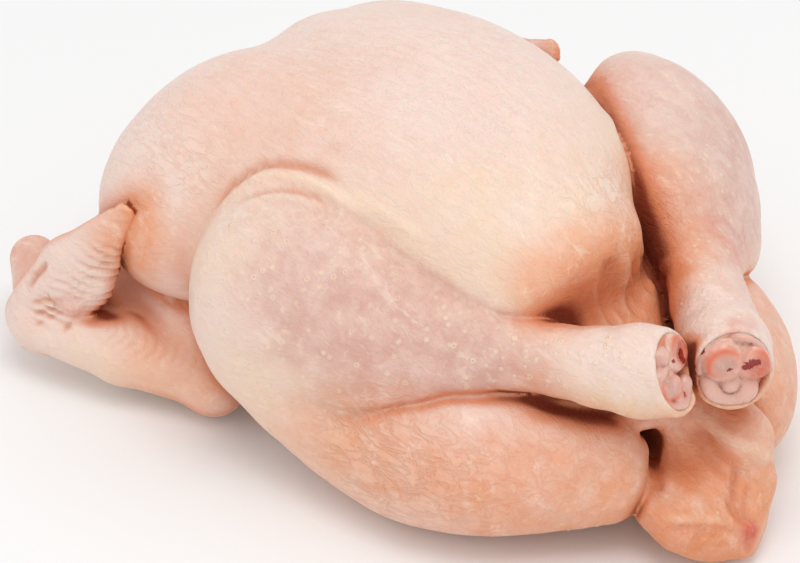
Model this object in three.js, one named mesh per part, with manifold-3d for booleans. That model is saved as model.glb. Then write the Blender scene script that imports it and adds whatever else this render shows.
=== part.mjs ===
// A whole raw chicken lying on its back, breast up, wings folded, the two drumsticks drawn
// together over the vent so that their cut hock ends sit side by side.
// Millimetres. +x is the bird's left, +y its neck end, +z up. It rests on its back at z = 0.
import * as THREE from "three";
import Module from "manifold-3d";

// ---------------------------------------------------------------- sizes
const SKIN_CELL = 6.3; // cell of the grid the skin is sampled on, over the body
const FINE = 0.7; // share of that cell out at the wings and back at the hock ends and tail
const JOINT_CELL = 2.4; // cell for the bared joint ends
const BACK_PLANE = 1.2; // height at which the back is pressed flat by the bird's weight
const JOINT_GAP = 0.35; // clearance between a joint end and the flesh round it
const SOCKET_OPEN = 6; // how far in front of the joint end the flesh is cut away
const SKIN_REACH = [-112, -126, -9, 116, 124, 112]; // box that clears the bird by over a cell

const RIBS = { at: [-3, 8.5, 36], half: [53.5, 96, 37.5], pitch: 2 };
const BREAST_RIGHT = { at: [-16, 20.5, 61.5], half: [39, 80.5, 39.5], yaw: 8, pitch: -5 };
const BREAST_LEFT = { at: [15.5, 26.5, 66], half: [38, 77, 38], yaw: -8.5, pitch: -10 };
const SHOULDER_RIGHT = { at: [-30, 64, 53.5], half: [47, 36, 36] };
const SHOULDER_LEFT = { at: [34, 60, 45.5], half: [38.5, 39.5, 37.5] };
const BREAST_TIP = { at: [-8.5, -28.5, 68], half: [31, 41.5, 25], pitch: -3 };
const BELLY = { at: [0, -48, 27], half: [35, 41, 25] };
const KEEL = [
  [-2, -50, 80, 9],
  [0, -20, 91, 9],
  [3, 30, 93, 9],
  [3.5, 69.5, 82, 10],
]; // x, y, z, radius along the breastbone
const NECK = [
  [0, 84, 44, 20],
  [0, 96, 34, 17],
  [0, 101, 25, 12],
]; // skin of the neck, tucked down towards the back

// One leg a side: thigh on the table, drumstick laid over it. Along the drumstick each line of
// calf and shank is the share of the way from knee to hock, the radius, and the sag below the
// straight line. The calf is flattened, and the skin round the hock is cut off on a slant.
const RIGHT_LEG = {
  side: -1,
  knee: [-59, 10, 49.5],
  hock: [-15.5, -98, 65.5],
  thigh: [
    [-21, -80, 23.5, 14],
    [-46.5, -51.5, 24.5, 20],
    [-52, -23, 23.5, 21.5],
    [-56.5, 10.5, 38.5, 24],
  ],
  calf: [
    [0, 28.2, -7.7],
    [0.12, 29.3, -1.4],
    [0.24, 27.7, 3.2],
    [0.35, 22.9, 3.8],
    [0.47, 16.7, 3.8],
    [0.59, 9.4, 3.2],
  ],
  shank: [
    [0.45, 14.7, 2.5],
    [0.59, 10.3, 2.4],
    [0.73, 9.9, 3],
    [0.82, 11.1, 2.8],
    [0.92, 12.6, 1.6],
    [1, 11.4, 0],
  ],
  flatness: 0.79,
  slant: 0.3,
  jointDepth: 3.5,
};
const LEFT_LEG = {
  side: 1,
  knee: [80, 1.5, 55.5],
  hock: [1.5, -104, 62],
  thigh: [
    [29, -78, 24, 19.3],
    [40.5, -60, 25.5, 21.8],
    [51, -25, 30, 21.6],
    [61, 5.5, 45, 23.3],
  ],
  calf: [
    [0, 26.8, 0],
    [0.12, 31.5, -2.7],
    [0.24, 30.7, -0.2],
    [0.35, 28, 0],
    [0.47, 18.8, 1.8],
    [0.59, 12.3, 2.6],
  ],
  shank: [
    [0.45, 13.1, 2.5],
    [0.59, 11.8, 2.4],
    [0.73, 10.9, 3],
    [0.82, 11.1, 2.8],
    [0.92, 12.1, 1.6],
    [1, 11.7, 0],
  ],
  flatness: 0.67,
  slant: 0.15,
  jointDepth: 1.5,
};

const RIGHT_WING = {
  side: -1,
  shoulder: [-48, 84.5, 35.5],
  elbow: [-66, 36, 11.5],
  wrist: [-91, 89, 18.5],
  tip: [-76.5, 63, 60.5],
  thumb: [-77, 109.5, 24],
};
const LEFT_WING = {
  side: 1,
  shoulder: [52, 86, 34],
  elbow: [64, 36, 13],
  wrist: [91.5, 92, 26.5],
  tip: [97.5, 66.5, 50.5],
  thumb: [80, 107, 27],
};
const UPPER_ARM = [18.5, 9.2]; // radii at shoulder and elbow
const FOREARM = [7.6, 10.5, 7.8]; // at elbow, middle and wrist
const HAND = [11.3, 11.5, 5]; // at wrist, palm and tip, before it is flattened
const HAND_FLATNESS = 0.6;
const THUMB = [6.6, 7.6];
const WEB = [7, 15]; // fold of skin between the two arms, at the elbow and towards the neck
const WEB_FLATNESS = 0.36;

const TAIL = [
  [-0.5, -81.5, 21.5, 24],
  [-0.5, -97, 15, 20],
  [3.5, -103.5, 10.5, 11.2],
  [1, -112, 7, 4.7],
];
const TAIL_RIM = [
  [14, -84, 34, 10],
  [12.5, -99, 30, 8],
  [11.5, -104, 18.5, 6.5],
  [3.5, -111, 11, 3.8],
];
const VENT = [
  [-10, -106, 38, 10],
  [-9, -92, 34, 7],
  [-7, -80, 35, 6.5],
  [-4, -30, 36, 10],
]; // mouth of the drawn body cavity, then the cavity itself
const VENT_BOWL = { at: [-4, -102, 33], half: [11, 14, 12] };

const SKIN_COLOUR = 0xf0cdb8;
const JOINT_COLOUR = 0xe4b6a2;

// ---------------------------------------------------------------- distance fields
const { min, max, hypot } = Math;
const clamp01 = (t) => max(0, min(1, t));
const vec = (a) => new THREE.Vector3(a[0], a[1], a[2]);

// Two fields joined with a fillet of about k, and one taken out of the other.
function join(a, b, k) {
  const h = clamp01(0.5 + (0.5 * (b - a)) / k);
  return b * (1 - h) + a * h - k * h * (1 - h);
}
const keepBoth = (a, b, k) => -join(-a, -b, k);
const takeOut = (a, b, k) => keepBoth(a, -b, k);

function ellipsoid({ at, half, yaw = 0, pitch = 0 }) {
  const centre = vec(at);
  const turn = new THREE.Matrix4()
    .makeRotationZ(THREE.MathUtils.degToRad(yaw))
    .multiply(new THREE.Matrix4().makeRotationX(THREE.MathUtils.degToRad(pitch)))
    .transpose();
  const [a, b, c] = half;
  return (p) => {
    const q = p.clone().sub(centre).applyMatrix4(turn);
    const k0 = hypot(q.x / a, q.y / b, q.z / c) + 1e-9;
    const k1 = hypot(q.x / (a * a), q.y / (b * b), q.z / (c * c)) + 1e-9;
    return (k0 * (k0 - 1)) / k1;
  };
}

// A round limb along points [x, y, z, radius]; `flat` squeezes it along the direction `across`.
function limb(points, fillet, across = null, flat = 1) {
  const n = across ? across.clone().normalize() : new THREE.Vector3(0, 0, 1);
  const first = vec(points[0]);
  const stretch = (v) => v.clone().addScaledVector(n, (1 / flat - 1) * v.clone().sub(first).dot(n));
  const ends = points.map((p) => stretch(vec(p)));
  const bones = ends.slice(1).map((b, i) => ({
    a: ends[i],
    ba: b.clone().sub(ends[i]),
    ra: points[i][3],
    rb: points[i + 1][3],
  }));
  return (p) => {
    const q = stretch(p);
    let d = Infinity;
    for (const { a, ba, ra, rb } of bones) {
      const pa = q.clone().sub(a);
      const t = clamp01(pa.dot(ba) / ba.lengthSq());
      const e = pa.addScaledVector(ba, -t).length() - (ra + (rb - ra) * t);
      d = d === Infinity ? e : join(d, e, fillet);
    }
    return d * flat;
  };
}

// Points and radii smoothed through a Catmull-Rom curve.
function smooth(points, steps) {
  const at = (i, c) => {
    const last = points.length - 1;
    if (i < 0) return 2 * points[0][c] - points[1][c];
    if (i > last) return 2 * points[last][c] - points[last - 1][c];
    return points[i][c];
  };
  const out = [];
  for (let i = 0; i < points.length - 1; i++)
    for (let j = 0; j < steps; j++) {
      const t = j / steps;
      out.push(
        [0, 1, 2, 3].map((c) => {
          const [a, b, e, f] = [at(i - 1, c), at(i, c), at(i + 1, c), at(i + 2, c)];
          const bend = (2 * a - 5 * b + 4 * e - f) * t * t + (-a + 3 * b - 3 * e + f) * t ** 3;
          return 0.5 * (2 * b + (e - a) * t + bend);
        }),
      );
    }
  out.push(points[points.length - 1]);
  return out;
}

// ---------------------------------------------------------------- the body
const ribs = ellipsoid(RIBS);
const breastRight = ellipsoid(BREAST_RIGHT);
const breastLeft = ellipsoid(BREAST_LEFT);
const shoulderRight = ellipsoid(SHOULDER_RIGHT);
const shoulderLeft = ellipsoid(SHOULDER_LEFT);
const keel = limb(smooth(KEEL, 4), 4);
const breastTip = ellipsoid(BREAST_TIP);
const tipFace = new THREE.Plane().setFromNormalAndCoplanarPoint(
  new THREE.Vector3(0.05, -0.95, -0.3).normalize(),
  new THREE.Vector3(-8, -61, 74),
);
const belly = ellipsoid(BELLY);
const neck = limb(NECK, 4, new THREE.Vector3(0, 0.6, 0.8), 0.6);

function body(p) {
  let d = join(ribs(p), join(breastRight(p), breastLeft(p), 8), 10);
  d = join(d, shoulderRight(p), 12);
  d = join(d, shoulderLeft(p), 12);
  d = join(d, keel(p), 14);
  d = join(d, neck(p), 8);
  // the breast ends in a blunt tip that drops steeply to the belly
  d = join(d, keepBoth(breastTip(p), tipFace.distanceToPoint(p), 9), 8);
  return join(d, belly(p), 7);
}

// ---------------------------------------------------------------- legs
// The direction out of the hock, with the two across it: level, and up.
function hockAxes(leg) {
  const out = vec(leg.hock).sub(vec(leg.knee)).normalize();
  const up = new THREE.Vector3(0, 0, 1).addScaledVector(out, -out.z).normalize();
  return { out, up, level: new THREE.Vector3().crossVectors(out, up) };
}

function drumstick(leg) {
  const knee = vec(leg.knee);
  const span = vec(leg.hock).sub(knee);
  const place = ([t, r, sag]) => {
    const c = knee.clone().addScaledVector(span, t);
    return [c.x, c.y, c.z - sag, r];
  };
  const { out, up } = hockAxes(leg);
  const across = new THREE.Vector3(0.77 * leg.side, -0.24, 0.59).normalize();
  across.addScaledVector(out, -across.dot(out));
  const calf = limb(leg.calf.map(place), 2, across, leg.flatness);
  const shank = limb(leg.shank.map(place), 2);
  const cut = new THREE.Plane().setFromNormalAndCoplanarPoint(
    out.clone().addScaledVector(up, leg.slant).normalize(),
    vec(leg.hock),
  );
  return (p) => keepBoth(join(calf(p), shank(p), 5), cut.distanceToPoint(p), 1.2);
}

const legs = [RIGHT_LEG, LEFT_LEG].map((leg) => ({
  thigh: limb(smooth(leg.thigh, 4), 3),
  drumstick: drumstick(leg),
}));

// ---------------------------------------------------------------- wings
function wing({ side, shoulder, elbow, wrist, tip, thumb }) {
  const upper = limb([[...shoulder, UPPER_ARM[0]], [...elbow, UPPER_ARM[1]]], 3);
  const half = elbow.map((e, i) => (e + wrist[i]) / 2 + (i === 2 ? 1 : 0));
  const fore = limb([elbow, half, wrist].map((at, i) => [...at, FOREARM[i]]), 3);
  const along = vec(tip).sub(vec(wrist)).normalize();
  const across = new THREE.Vector3(0.74 * side, -0.47, 0.3);
  across.addScaledVector(along, -across.dot(along));
  const palm = wrist.map((w, i) => w + (tip[i] - w) * 0.45);
  const hand = limb([wrist, palm, tip].map((at, i) => [...at, HAND[i]]), 3, across, HAND_FLATNESS);
  const digit = limb([[...wrist, THUMB[0]], [...thumb, THUMB[1]]], 3);
  const plane = vec(shoulder).sub(vec(elbow)).cross(vec(wrist).sub(vec(elbow)));
  const front = elbow.map((e, i) => e * 0.3 + (shoulder[i] + wrist[i]) * 0.35);
  const web = limb([[...elbow, WEB[0]], [...front, WEB[1]]], 3, plane, WEB_FLATNESS);
  return (p) => {
    const arms = join(join(upper(p), fore(p), 5), web(p), 4);
    return join(arms, join(hand(p), digit(p), 2), 2.5);
  };
}
const wings = [wing(RIGHT_WING), wing(LEFT_WING)];

// ---------------------------------------------------------------- tail and vent
const parsonsNose = limb(TAIL, 3, new THREE.Vector3(0.1, -0.45, 0.85), 0.55);
const tailRim = limb(TAIL_RIM, 3);
const tail = (p) => join(parsonsNose(p), tailRim(p), 4);
const ventTube = limb(VENT, 3);
const ventBowl = ellipsoid(VENT_BOWL);
const vent = (p) => join(ventTube(p), ventBowl(p), 5);

// The whole outside of the bird. Drumsticks meet the thighs in a tight crease towards the
// hock and run into them softly at the knee. The two hocks lie side by side, barely touching.
function skin(p) {
  let d = body(p);
  for (const leg of legs) d = join(d, leg.thigh(p), 8);
  for (const w of wings) d = join(d, w(p), 5);
  d = join(d, tail(p), 6);
  const fillet = 5 + 7 * clamp01((p.y + 12) / 40) - 3 * clamp01((-72 - p.y) / 14);
  for (const leg of legs) d = join(d, leg.drumstick(p), fillet);
  d = takeOut(d, vent(p), 5);
  return keepBoth(d, BACK_PLANE - p.z, 0.5);
}

// ---------------------------------------------------------------- joint ends
// The knuckle bared where the foot was cut off: two rounded condyles side by side over a
// lower pad of cartilage, on a short stump set into the shank.
function jointEnd(leg) {
  const { out: axis, up, level } = hockAxes(leg);
  const place = (x, y, out, r) => {
    const c = vec(leg.hock)
      .addScaledVector(level, x)
      .addScaledVector(up, y)
      .addScaledVector(axis, out - leg.jointDepth);
    return [c.x, c.y, c.z, r];
  };
  const stump = limb([place(0, 0, -9, 6), place(0, 0, -3, 8)], 1);
  const condyles = [-1, 1].map((s) =>
    limb([place(4.6 * s, 2.6, -2.5, 5), place(4.6 * s, 3, 0.2, 4.6)], 1),
  );
  const pad = limb([place(-3.4, -5, -1.5, 4.2), place(3.4, -5.2, -1.5, 4.2)], 1);
  return (p) => {
    let d = join(condyles[0](p), condyles[1](p), 1.6);
    d = join(d, pad(p), 1.8);
    return join(d, stump(p), 3);
  };
}

// The room for it in the flesh: the joint with its clearance, open to the front.
function jointSocket(leg, joint) {
  const { out } = hockAxes(leg);
  return (p) => join(joint(p), joint(p.clone().addScaledVector(out, -SOCKET_OPEN)), 1) - JOINT_GAP;
}

// ---------------------------------------------------------------- surfaces
// Surface of a field's zero inside a box: one vertex per crossed cell, drawn onto the field.
// `cells` gives the cell's size along x, y and z at a coordinate.
function surface(field, reach, cells) {
  const ticks = [0, 1, 2].map((a) => {
    const out = [reach[a]];
    while (out.at(-1) < reach[a + 3]) out.push(out.at(-1) + cells[a](out.at(-1)));
    return out;
  });
  const n = ticks.map((t) => t.length);
  const between = (a, x) => {
    const i = min(Math.floor(x), n[a] - 2);
    return ticks[a][i] + (x - i) * (ticks[a][i + 1] - ticks[a][i]);
  };
  const place = (v) => new THREE.Vector3(between(0, v.x), between(1, v.y), between(2, v.z));
  const index = (i, j, k) => (i * n[1] + j) * n[2] + k;
  const value = new Float64Array(n[0] * n[1] * n[2]);
  for (let i = 0; i < n[0]; i++)
    for (let j = 0; j < n[1]; j++)
      for (let k = 0; k < n[2]; k++)
        value[index(i, j, k)] = field(place(new THREE.Vector3(i, j, k)));

  // A cell that two separate bits of the surface cross gets a vertex for each, so the mesh
  // stays closed and never touches itself: crossings are grouped by their inside corner.
  const corner = (c) => [c & 1, (c >> 1) & 1, (c >> 2) & 1];
  const vertexOf = new Map();
  const vertices = [];
  function cellVertices(i, j, k) {
    const v = Array.from({ length: 8 }, (_, c) => {
      const [di, dj, dk] = corner(c);
      return value[index(i + di, j + dj, k + dk)];
    });
    const group = v.map((d, c) => (d < 0 ? c : -1));
    for (let pass = 0; pass < 4; pass++)
      for (let c = 0; c < 8; c++)
        for (const bit of [1, 2, 4])
          if (group[c] >= 0 && group[c ^ bit] >= 0)
            group[c] = group[c ^ bit] = min(group[c], group[c ^ bit]);
    const ids = group.map(() => -1);
    for (const g of new Set(group)) {
      const sum = new THREE.Vector3();
      let hits = 0;
      for (let c = 0; c < 8; c++)
        for (const [axis, bit] of [1, 2, 4].entries()) {
          if (g < 0 || group[c] !== g || group[c ^ bit] >= 0) continue;
          const p = corner(c);
          const t = v[c] / (v[c] - v[c ^ bit]);
          p[axis] += c & bit ? -t : t;
          sum.add(vec(p));
          hits++;
        }
      if (!hits) continue;
      group.forEach((other, c) => other === g && (ids[c] = vertices.length));
      vertices.push(place(sum.divideScalar(hits).add(new THREE.Vector3(i, j, k))));
    }
    if (ids.some((id) => id >= 0)) vertexOf.set(index(i, j, k), ids);
  }
  for (let i = 0; i < n[0] - 1; i++)
    for (let j = 0; j < n[1] - 1; j++) for (let k = 0; k < n[2] - 1; k++) cellVertices(i, j, k);

  // a four-sided face round each grid edge that the surface crosses
  const faces = [];
  for (let a = 0; a < 3; a++) {
    const [b, c] = [(a + 1) % 3, (a + 2) % 3];
    for (let i = 1; i < n[0] - 1; i++)
      for (let j = 1; j < n[1] - 1; j++)
        for (let k = 1; k < n[2] - 1; k++) {
          const here = [i, j, k];
          const next = here.slice();
          next[a]++;
          const inside = value[index(...here)] < 0;
          if (inside === value[index(...next)] < 0) continue;
          const ring = [[1, 1], [0, 1], [0, 0], [1, 0]].map(([db, dc]) => {
            const q = here.slice();
            q[b] -= db;
            q[c] -= dc;
            const local = (db << b) | (dc << c) | (inside ? 0 : 1 << a);
            return vertexOf.get(index(...q))[local];
          });
          if (!inside) ring.reverse();
          faces.push(ring);
        }
  }

  const cell = min(...cells.map((size, a) => size(reach[a])));
  const h = cell * 0.15;
  const step = new THREE.Vector3();
  const slope = new THREE.Vector3();
  for (const v of vertices)
    for (let pass = 0; pass < 2; pass++) {
      const d = field(v);
      "xyz".split("").forEach((axis) => {
        step.set(0, 0, 0)[axis] = h;
        const rise = field(v.clone().add(step)) - field(v.clone().sub(step));
        slope[axis] = rise / (2 * h);
      });
      const move = slope.clone().multiplyScalar(-d / max(slope.lengthSq(), 1e-3));
      v.add(move.clampLength(0, cell * 0.5));
    }

  // each four-sided face is split along its shorter diagonal
  const triangles = [];
  for (const [a, b, c, d] of faces) {
    const ac = vertices[a].distanceToSquared(vertices[c]);
    const bd = vertices[b].distanceToSquared(vertices[d]);
    if (ac < bd) triangles.push(a, b, c, a, c, d);
    else triangles.push(a, b, d, b, c, d);
  }
  const geometry = new THREE.BufferGeometry().setFromPoints(vertices);
  geometry.setIndex(triangles);
  return geometry;
}

const wasm = await Module();
wasm.setup();
const toSolid = (g) =>
  new wasm.Manifold(
    new wasm.Mesh({
      numProp: 3,
      vertProperties: g.attributes.position.array,
      triVerts: new Uint32Array(g.index.array),
    }),
  );
function toGeometry(solid) {
  const mesh = solid.getMesh();
  const g = new THREE.BufferGeometry();
  g.setAttribute("position", new THREE.BufferAttribute(mesh.vertProperties, 3));
  g.setIndex(new THREE.BufferAttribute(mesh.triVerts, 1));
  return g;
}

// ---------------------------------------------------------------- assembly
const shrink = (outward) => SKIN_CELL * (1 - (1 - FINE) * clamp01(outward));
const skinCells = [
  (x) => shrink(max((Math.abs(x) - 56) / 14, (34 - Math.abs(x)) / 12)),
  (y) => shrink((-74 - y) / 14),
  () => SKIN_CELL * 0.92,
];
const jointCells = [0, 1, 2].map(() => () => JOINT_CELL);
let flesh = toSolid(surface(skin, SKIN_REACH, skinCells));
const joints = [
  ["hock_joint_right", RIGHT_LEG],
  ["hock_joint_left", LEFT_LEG],
].map(([name, leg]) => {
  const field = jointEnd(leg);
  const reach = [...leg.hock.map((c) => c - 20), ...leg.hock.map((c) => c + 20)];
  flesh = flesh.subtract(toSolid(surface(jointSocket(leg, field), reach, jointCells)));
  return [name, surface(field, reach, jointCells)];
});

const chicken = new THREE.Group();
chicken.name = "chicken";
function add(name, geometry, colour, roughness) {
  const material = new THREE.MeshStandardMaterial({ color: colour, roughness });
  const mesh = new THREE.Mesh(geometry, material);
  mesh.name = name;
  chicken.add(mesh);
}
const fleshGeometry = toGeometry(flesh);
add("skin", fleshGeometry, SKIN_COLOUR, 0.45);
for (const [name, geometry] of joints) add(name, geometry, JOINT_COLOUR, 0.3);

// The origin is the middle of the underside of the whole bird's box.
fleshGeometry.computeBoundingBox();
const whole = new THREE.Box3().setFromObject(chicken, true);
const middle = whole.getCenter(new THREE.Vector3()).setZ(whole.min.z);
for (const mesh of chicken.children) mesh.geometry.translate(-middle.x, -middle.y, -middle.z);

export default chicken;
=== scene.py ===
# %% [markdown]
# # A whole raw chicken
# The bird lies on its back with its drumsticks drawn together over the vent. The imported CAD
# model is the fixed frame: it gives the place and the size, and the skin made here lies over
# it. We load it first and keep its box, to compare with the dressed bird at the end.

# %% Load the frame
from math import cos, pi, radians, sin

import bmesh
import bpy
import numpy as np
from mathutils import Matrix, Vector, noise


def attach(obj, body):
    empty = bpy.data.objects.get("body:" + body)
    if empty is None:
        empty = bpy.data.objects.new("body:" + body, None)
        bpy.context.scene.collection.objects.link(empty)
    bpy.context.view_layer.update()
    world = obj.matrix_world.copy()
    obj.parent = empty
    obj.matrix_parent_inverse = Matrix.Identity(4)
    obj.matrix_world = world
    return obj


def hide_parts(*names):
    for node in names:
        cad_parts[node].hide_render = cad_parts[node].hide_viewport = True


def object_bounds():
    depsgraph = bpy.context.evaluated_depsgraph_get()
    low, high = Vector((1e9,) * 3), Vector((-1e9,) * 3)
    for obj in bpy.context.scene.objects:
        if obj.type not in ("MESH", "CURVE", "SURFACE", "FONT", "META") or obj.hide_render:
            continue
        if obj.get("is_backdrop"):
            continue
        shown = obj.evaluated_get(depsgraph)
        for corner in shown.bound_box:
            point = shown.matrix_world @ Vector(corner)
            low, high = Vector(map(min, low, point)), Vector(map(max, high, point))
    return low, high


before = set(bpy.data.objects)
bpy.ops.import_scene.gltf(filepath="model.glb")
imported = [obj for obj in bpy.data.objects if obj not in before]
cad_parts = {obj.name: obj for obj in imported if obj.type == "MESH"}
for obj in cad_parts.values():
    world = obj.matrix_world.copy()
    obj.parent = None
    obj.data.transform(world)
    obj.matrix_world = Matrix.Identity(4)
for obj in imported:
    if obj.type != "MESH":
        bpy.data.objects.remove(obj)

CAD_BOX = [list(corner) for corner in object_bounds()]
MM = 0.001
GROUND = 1.2  # mm, the height of the lowest skin in the bird's own axes
ORIGIN = np.array((-2.005, -0.309, -GROUND))  # the bird's own axes, in mm, to the frame's
print("frame", sorted(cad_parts), "box", [[round(c, 4) for c in p] for p in CAD_BOX])

# %% [markdown]
# ## Soft shapes as distances
# Skin has no edges: legs, breast and tail run into each other through soft folds. Modelling
# that as separate lofts leaves seams. Instead each part is a function that gives the distance
# from a point to its surface, negative inside, and two parts are joined by a minimum that is
# rounded over k millimetres. The skin is then one closed surface over the sum of them.

# %% Joining, cutting and the two basic shapes
def vec(*a):
    return np.array(a, float)


def unit(v):
    return np.asarray(v, float) / np.linalg.norm(v)


def join(a, b, k):
    h = np.clip(0.5 + 0.5 * (b - a) / k, 0, 1)
    return b * (1 - h) + a * h - k * h * (1 - h)


def keep_both(a, b, k):
    return -join(-a, -b, k)


def smooth(low, high, x):
    t = np.clip((x - low) / (high - low), 0, 1)
    return t * t * (3 - 2 * t)


def turned(yaw=0, pitch=0):
    a, b = radians(yaw), radians(pitch)
    about_z = np.array([[cos(a), -sin(a), 0], [sin(a), cos(a), 0], [0, 0, 1]])
    return about_z @ np.array([[1, 0, 0], [0, cos(b), -sin(b)], [0, sin(b), cos(b)]])


def ellipsoid(P, at, half, turn=None):
    q = P - np.asarray(at, float)
    if turn is not None:
        q = q @ turn
    half = np.asarray(half, float)
    a = np.sqrt(((q / half) ** 2).sum(-1)) + 1e-9
    b = np.sqrt(((q / half**2) ** 2).sum(-1)) + 1e-9
    return a * (a - 1) / b


def limb(P, points, radii, k, thin=None, flat=1.0):
    """A round limb along the points, pressed flat along the direction `thin`."""
    points = [np.asarray(p, float) for p in points]
    if thin is not None:
        n, start = unit(thin), points[0]
        press = lambda X: X + (1 / flat - 1) * ((X - start) @ n)[..., None] * n
        P, points = press(P), [press(p) for p in points]
    d = None
    for a, b, ra, rb in zip(points[:-1], points[1:], radii[:-1], radii[1:]):
        t = np.clip(((P - a) @ (b - a)) / ((b - a) @ (b - a)), 0, 1)
        e = np.linalg.norm(P - a - t[..., None] * (b - a), axis=-1) - (ra + (rb - ra) * t)
        d = e if d is None else join(d, e, k)
    return d * flat


def curve(points, steps=4):
    """A smooth curve through points of any number of values."""
    p = np.asarray(points, float)
    q = np.vstack([2 * p[0] - p[1], p, 2 * p[-1] - p[-2]])
    out = [
        0.5 * (2 * b + (c - a) * t + (2 * a - 5 * b + 4 * c - d) * t**2 + (3 * b - a - 3 * c + d) * t**3)
        for a, b, c, d in zip(q[:-3], q[1:-2], q[2:-1], q[3:])
        for t in np.linspace(0, 1, steps, endpoint=False)
    ]
    return np.array(out + [p[-1]])


# %% [markdown]
# ## The bird in parts
# The breast is the big form: two muscles either side of the keel bone, over the ribs and the
# shoulders. Each leg is a thigh on the table and a tear-shaped drumstick over it. The wings
# are folded into a Z. The sizes follow the solid model, but the vent here is narrower.

# %% The trunk
def trunk(P):
    d = ellipsoid(P, (-3, 8.5, 36), (53.5, 96, 37.5), turned(pitch=2))
    right = ellipsoid(P, (-16, 20.5, 61.5), (39, 80.5, 39.5), turned(8, -5))
    left = ellipsoid(P, (15.5, 26.5, 66), (38, 77, 38), turned(-8.5, -10))
    d = join(d, join(right, left, 8), 10)
    d = join(d, ellipsoid(P, (-30, 64, 53.5), (47, 36, 36)), 12)
    d = join(d, ellipsoid(P, (34, 60, 45.5), (38.5, 39.5, 37.5)), 12)
    keel = curve([(-2, -50, 80, 9), (0, -20, 91, 9), (3, 30, 93, 9), (3.5, 69.5, 82, 10)])
    d = join(d, limb(P, keel[:, :3], keel[:, 3], 4), 14)
    neck = limb(P, [(0, 84, 44), (0, 96, 34), (0, 101, 25)], [20, 17, 12], 4, (0, 0.6, 0.8), 0.6)
    d = join(d, neck, 8)
    tip = ellipsoid(P, (-8.5, -28.5, 68), (31, 41.5, 25), turned(pitch=-3))
    tip = keep_both(tip, (P - vec(-8, -61, 74)) @ unit((0.05, -0.95, -0.3)), 9)
    return join(join(d, tip, 8), ellipsoid(P, (0, -48, 27), (35, 41, 25)), 7)


# %% The legs
class Leg:
    """side is +1 for the bird's right leg. Each line of calf and shank is the share of the way
    from knee to hock, the radius, and the sag below the straight line between them."""

    def __init__(self, side, knee, hock, thigh, calf, shank, flatness, slant, narrow):
        self.side, self.knee, self.hock = side, vec(*knee), vec(*hock)
        self.thigh, self.calf, self.shank = curve(thigh), calf, shank
        self.flatness, self.slant, self.narrow = flatness, slant, narrow
        self.along = unit(self.hock - self.knee)
        self.up = unit(vec(0, 0, 1) - self.along[2] * self.along)
        self.across = np.cross(self.up, self.along)
        thin = vec(-0.77 * side, -0.24, 0.59)
        self.thin = thin - (thin @ self.along) * self.along
        rear, middle = vec(*thigh[0][:3]), vec(*thigh[1][:3])
        self.upper_edge = [rear + vec(0, 2, 11), middle + vec(2 * side, 0, 9)]

    def local(self, P):
        """across, up and outwards from the middle of the hock"""
        q = P - self.hock
        return q @ self.across, q @ self.up, q @ self.along

    def sides(self, P):
        x, _, w = self.local(P)
        P = P + (self.narrow * smooth(-16, 0, w) * x)[..., None] * self.across
        parts = []
        for rows, flat in ((self.calf, self.flatness), (self.shank, 1.0)):
            at = [self.knee + (self.hock - self.knee) * t - vec(0, 0, sag) for t, _, sag in rows]
            parts.append(limb(P, at, [r for _, r, _ in rows], 2, self.thin, flat))
        return join(*parts, 5)

    def end(self, P):
        """distance outwards from the slanted cut"""
        _, y, w = self.local(P)
        return (w + self.slant * y) / (1 + self.slant**2) ** 0.5

    def drumstick(self, P):
        return keep_both(self.sides(P), self.end(P), 1.2)


RIGHT = Leg(
    1, (-59, 10, 49.5), (-15.5, -98, 65.5),
    thigh=[(-21, -80, 23.5, 14), (-46.5, -51.5, 24.5, 20), (-52, -23, 23.5, 21.5), (-56.5, 10.5, 38.5, 24)],
    calf=[(0, 28.2, -7.7), (0.12, 29.3, -1.4), (0.24, 27.7, 3.2), (0.35, 22.9, 3.8), (0.47, 16.7, 3.8),
          (0.59, 9.4, 3.2)],
    shank=[(0.45, 14.7, 2.5), (0.59, 10.3, 2.4), (0.73, 9.9, 3), (0.82, 11.1, 2.8), (0.92, 12.6, 1.6),
           (1.05, 11.6, -0.4)],
    flatness=0.79, slant=0.3, narrow=0.12)
LEFT = Leg(
    -1, (80, 1.5, 55.5), (1.5, -104, 62),
    thigh=[(29, -78, 24, 19.3), (40.5, -60, 25.5, 21.8), (51, -25, 30, 21.6), (61, 5.5, 45, 23.3)],
    calf=[(0, 26.8, 0), (0.12, 31.5, -2.7), (0.24, 30.7, -0.2), (0.35, 28, 0), (0.47, 18.8, 1.8), (0.59, 12.3, 2.6)],
    shank=[(0.45, 13.1, 2.5), (0.59, 11.8, 2.4), (0.73, 10.9, 3), (0.82, 11.1, 2.8), (0.92, 12.1, 1.6),
           (1.05, 12.3, -0.3)],
    flatness=0.67, slant=0.12, narrow=0.08)
LEGS = (RIGHT, LEFT)


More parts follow.
